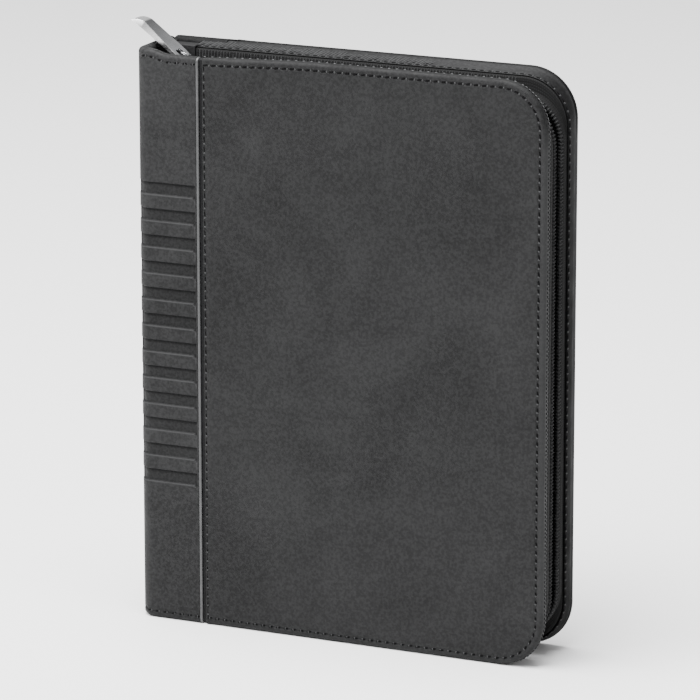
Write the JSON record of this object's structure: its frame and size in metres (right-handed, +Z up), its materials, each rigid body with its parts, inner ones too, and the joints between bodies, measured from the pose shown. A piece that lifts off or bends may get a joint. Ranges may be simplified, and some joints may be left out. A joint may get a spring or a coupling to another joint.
{
  "type": "organizer clutch",
  "caption": "Zip-round ring organizer clutch in grained grey leatherette with a debossed spine, hinged covers, a sliding zip puller and an opening ring mechanism.",
  "frame": {"origin": "centre of the back cover's flat outer face", "axes": "+X from the spine to the fore-edge, +Y out of the back face (the front faces -Y), +Z up along the spine; the case stands on its lower edge"},
  "size_m": [0.1868, 0.034, 0.2495],
  "materials": {
    "leatherette": "satin grained, mottled",
    "seam_strip": "satin",
    "board": "matte",
    "lining": "matte",
    "zip_tape": "woven, matte",
    "zip_coil": "satin",
    "zip_metal": "polished",
    "ring_metal": "polished",
    "rail_steel": "satin",
    "elastic": "ribbed, matte"
  },
  "bodies": {
    "back_cover": {"back_cover_skin": "leatherette", "back_cover_board": "board", "back_cover_lining": "lining", "back_seam_strip": "seam_strip", "back_spine_wrap": "leatherette", "back_edge_margin": "leatherette", "back_zip_tape": "zip_tape", "back_zip_coil": "zip_coil", "upper_zip_end_tab": "leatherette", "lower_zip_end_tab": "leatherette", "back_bottom_stop": "zip_metal", "back_pad_pocket": "lining", "pen_loop": "elastic"},
    "spine": {"spine_skin": "leatherette", "spine_board": "board", "spine_lining": "lining", "ring_plate": "ring_metal", "lower_rivet": "ring_metal", "upper_rivet": "ring_metal"},
    "front_cover": {"front_cover_skin": "leatherette", "front_cover_board": "board", "front_cover_lining": "lining", "front_seam_strip": "seam_strip", "front_spine_wrap": "leatherette", "front_zip_tape": "zip_tape", "front_zip_coil": "zip_coil", "front_top_stop": "zip_metal", "front_bottom_stop": "zip_metal", "front_slip_pocket": "lining", "card_pocket_1": "lining", "card_pocket_2": "lining", "card_pocket_3": "lining"},
    "front_rings": {"front_ring_rail": "rail_steel", "front_half_ring_1": "ring_metal", "front_half_ring_2": "ring_metal", "front_half_ring_3": "ring_metal", "front_half_ring_4": "ring_metal", "front_half_ring_5": "ring_metal", "front_half_ring_6": "ring_metal"},
    "back_rings": {"back_ring_rail": "rail_steel", "back_half_ring_1": "ring_metal", "back_half_ring_2": "ring_metal", "back_half_ring_3": "ring_metal", "back_half_ring_4": "ring_metal", "back_half_ring_5": "ring_metal", "back_half_ring_6": "ring_metal"},
    "upper_lever": {"upper_lever": "ring_metal"},
    "lower_lever": {"lower_lever": "ring_metal"},
    "zip_slider": {"zip_slider": "zip_metal"},
    "zip_puller": {"zip_puller": "zip_metal"}
  },
  "joints": [
    {"name": "spine_hinge", "type": "hinge", "parent": "back_cover", "child": "spine", "pos_m": [-0.09, 0, 0], "axis": [0, 0, -1], "range_deg": [0, 90]},
    {"name": "front_hinge", "type": "hinge", "parent": "spine", "child": "front_cover", "pos_m": [-0.09, -0.034, 0], "axis": [0, 0, -1], "range_deg": [0, 90]},
    {"name": "zip_slide", "type": "slide", "parent": "back_cover", "child": "zip_slider", "axis": [1, 0, 0], "range_m": [0, 0.136]},
    {"name": "puller_hinge", "type": "hinge", "parent": "zip_slider", "child": "zip_puller", "pos_m": [-0.0745, -0.0191, 0.11469], "axis": [0, 1, 0], "range_deg": [-6, 136]},
    {"name": "front_ring_hinge", "type": "hinge", "parent": "spine", "child": "front_rings", "pos_m": [-0.0834, -0.0232, 0], "axis": [0, 0, -1], "range_deg": [0, 14]},
    {"name": "back_ring_hinge", "type": "hinge", "parent": "spine", "child": "back_rings", "pos_m": [-0.0834, -0.0108, 0], "axis": [0, 0, 1], "range_deg": [0, 14]},
    {"name": "upper_lever_hinge", "type": "hinge", "parent": "spine", "child": "upper_lever", "pos_m": [-0.083, -0.017, 0.0975], "axis": [0, -1, 0], "range_deg": [0, 20]},
    {"name": "lower_lever_hinge", "type": "hinge", "parent": "spine", "child": "lower_lever", "pos_m": [-0.083, -0.017, -0.0975], "axis": [0, 1, 0], "range_deg": [0, 20]}
  ],
  "couplings": [
    {"joint": "back_ring_hinge", "follows": "front_ring_hinge", "ratio": 1},
    {"joint": "upper_lever_hinge", "follows": "front_ring_hinge", "ratio": 1.4286},
    {"joint": "lower_lever_hinge", "follows": "front_ring_hinge", "ratio": 1.4286}
  ]
}
